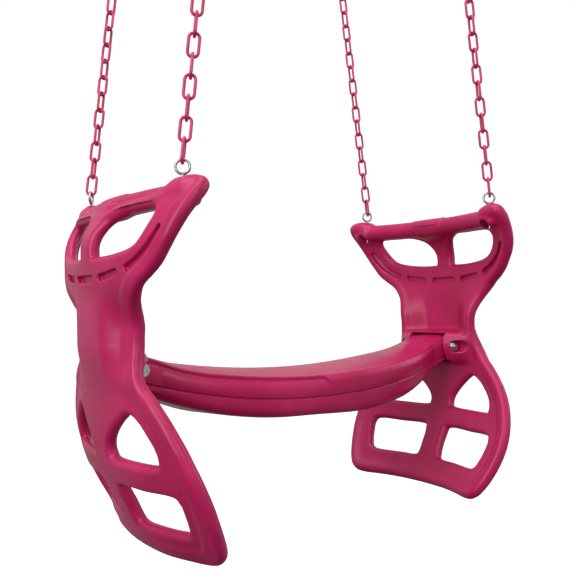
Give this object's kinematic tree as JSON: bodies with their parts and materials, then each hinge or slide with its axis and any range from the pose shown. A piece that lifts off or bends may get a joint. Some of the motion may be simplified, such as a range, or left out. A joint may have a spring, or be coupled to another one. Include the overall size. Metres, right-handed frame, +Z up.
{
  "type": "glider swing",
  "caption": "Two-rider glider swing: curved end panels with hand grips and foot rests, a sagging seat between them, hung on coated chains with snap hooks.",
  "frame": {"origin": "centre of the four snap hooks' bearing points, where the beam's hangers hold the glider", "axes": "+Z up, +X from the left panel to the right panel along the glide, +Y to the rear across it"},
  "size_m": [0.926, 0.4902, 1.3373],
  "materials": {
    "panel_plastic": "satin blow-moulded polyethylene",
    "seat_plastic": "satin blow-moulded polyethylene",
    "chain_vinyl": "glossy vinyl dip over steel",
    "eyebolt_steel": "bright zinc",
    "fastener_steel": "bright zinc",
    "hook_steel": "zinc plated",
    "gate_steel": "zinc plated"
  },
  "bodies": {
    "hangers": {"hook_left_front": "hook_steel", "hook_left_rear": "hook_steel", "hook_right_front": "hook_steel", "hook_right_rear": "hook_steel", "gate_rivets": "gate_steel"},
    "glider": {"left_panel": "panel_plastic", "right_panel": "panel_plastic", "seat": "seat_plastic", "left_seat_bolt": "fastener_steel", "right_seat_bolt": "fastener_steel", "left_seat_nut": "fastener_steel", "right_seat_nut": "fastener_steel", "seat_bolt_washers": "fastener_steel", "left_bolt_sleeve": "fastener_steel", "right_bolt_sleeve": "fastener_steel", "eyebolt_left_front": "eyebolt_steel", "eyebolt_left_rear": "eyebolt_steel", "eyebolt_right_front": "eyebolt_steel", "eyebolt_right_rear": "eyebolt_steel", "eyebolt_nuts": "fastener_steel", "eyebolt_washers": "fastener_steel"},
    "chain_left_front": {"chain_left_front": "chain_vinyl"},
    "gate_left_front": {"gate_left_front": "gate_steel"},
    "chain_left_rear": {"chain_left_rear": "chain_vinyl"},
    "gate_left_rear": {"gate_left_rear": "gate_steel"},
    "chain_right_front": {"chain_right_front": "chain_vinyl"},
    "gate_right_front": {"gate_right_front": "gate_steel"},
    "chain_right_rear": {"chain_right_rear": "chain_vinyl"},
    "gate_right_rear": {"gate_right_rear": "gate_steel"}
  },
  "joints": [
    {"name": "chain_left_front_swing", "type": "hinge", "parent": "hangers", "child": "chain_left_front", "pos_m": [-0.29668, -0.198, -0.057], "axis": [0, 1, 0], "range_deg": [-15, 15]},
    {"name": "chain_left_rear_swing", "type": "hinge", "parent": "hangers", "child": "chain_left_rear", "pos_m": [-0.29668, 0.198, -0.057], "axis": [0, 1, 0], "range_deg": [-15, 15]},
    {"name": "chain_right_front_swing", "type": "hinge", "parent": "hangers", "child": "chain_right_front", "pos_m": [0.29668, -0.198, -0.057], "axis": [0, 1, 0], "range_deg": [-15, 15]},
    {"name": "chain_right_rear_swing", "type": "hinge", "parent": "hangers", "child": "chain_right_rear", "pos_m": [0.29668, 0.198, -0.057], "axis": [0, 1, 0], "range_deg": [-15, 15]},
    {"name": "glider_tilt", "type": "hinge", "parent": "chain_left_front", "child": "glider", "pos_m": [-0.374, -0.198, -0.67256], "axis": [0, 1, 0], "range_deg": [-11.9, 11.9]},
    {"name": "gate_left_front_open", "type": "hinge", "parent": "hangers", "child": "gate_left_front", "pos_m": [-0.29668, -0.185, -0.039], "axis": [1, 0, 0], "range_deg": [0, 28], "stiffness_Nm_per_rad": 0.02, "springref_deg": -17.19},
    {"name": "gate_left_rear_open", "type": "hinge", "parent": "hangers", "child": "gate_left_rear", "pos_m": [-0.29668, 0.185, -0.039], "axis": [-1, 0, 0], "range_deg": [0, 28], "stiffness_Nm_per_rad": 0.02, "springref_deg": -17.19},
    {"name": "gate_right_front_open", "type": "hinge", "parent": "hangers", "child": "gate_right_front", "pos_m": [0.29668, -0.185, -0.039], "axis": [1, 0, 0], "range_deg": [0, 28], "stiffness_Nm_per_rad": 0.02, "springref_deg": -17.19},
    {"name": "gate_right_rear_open", "type": "hinge", "parent": "hangers", "child": "gate_right_rear", "pos_m": [0.29668, 0.185, -0.039], "axis": [-1, 0, 0], "range_deg": [0, 28], "stiffness_Nm_per_rad": 0.02, "springref_deg": -17.19}
  ],
  "couplings": [
    {"joint": "chain_left_rear_swing", "follows": "chain_left_front_swing", "ratio": 1},
    {"joint": "chain_right_front_swing", "follows": "chain_left_front_swing", "ratio": 1},
    {"joint": "chain_right_rear_swing", "follows": "chain_left_front_swing", "ratio": 1},
    {"joint": "glider_tilt", "follows": "chain_left_front_swing", "ratio": -0.79328}
  ]
}
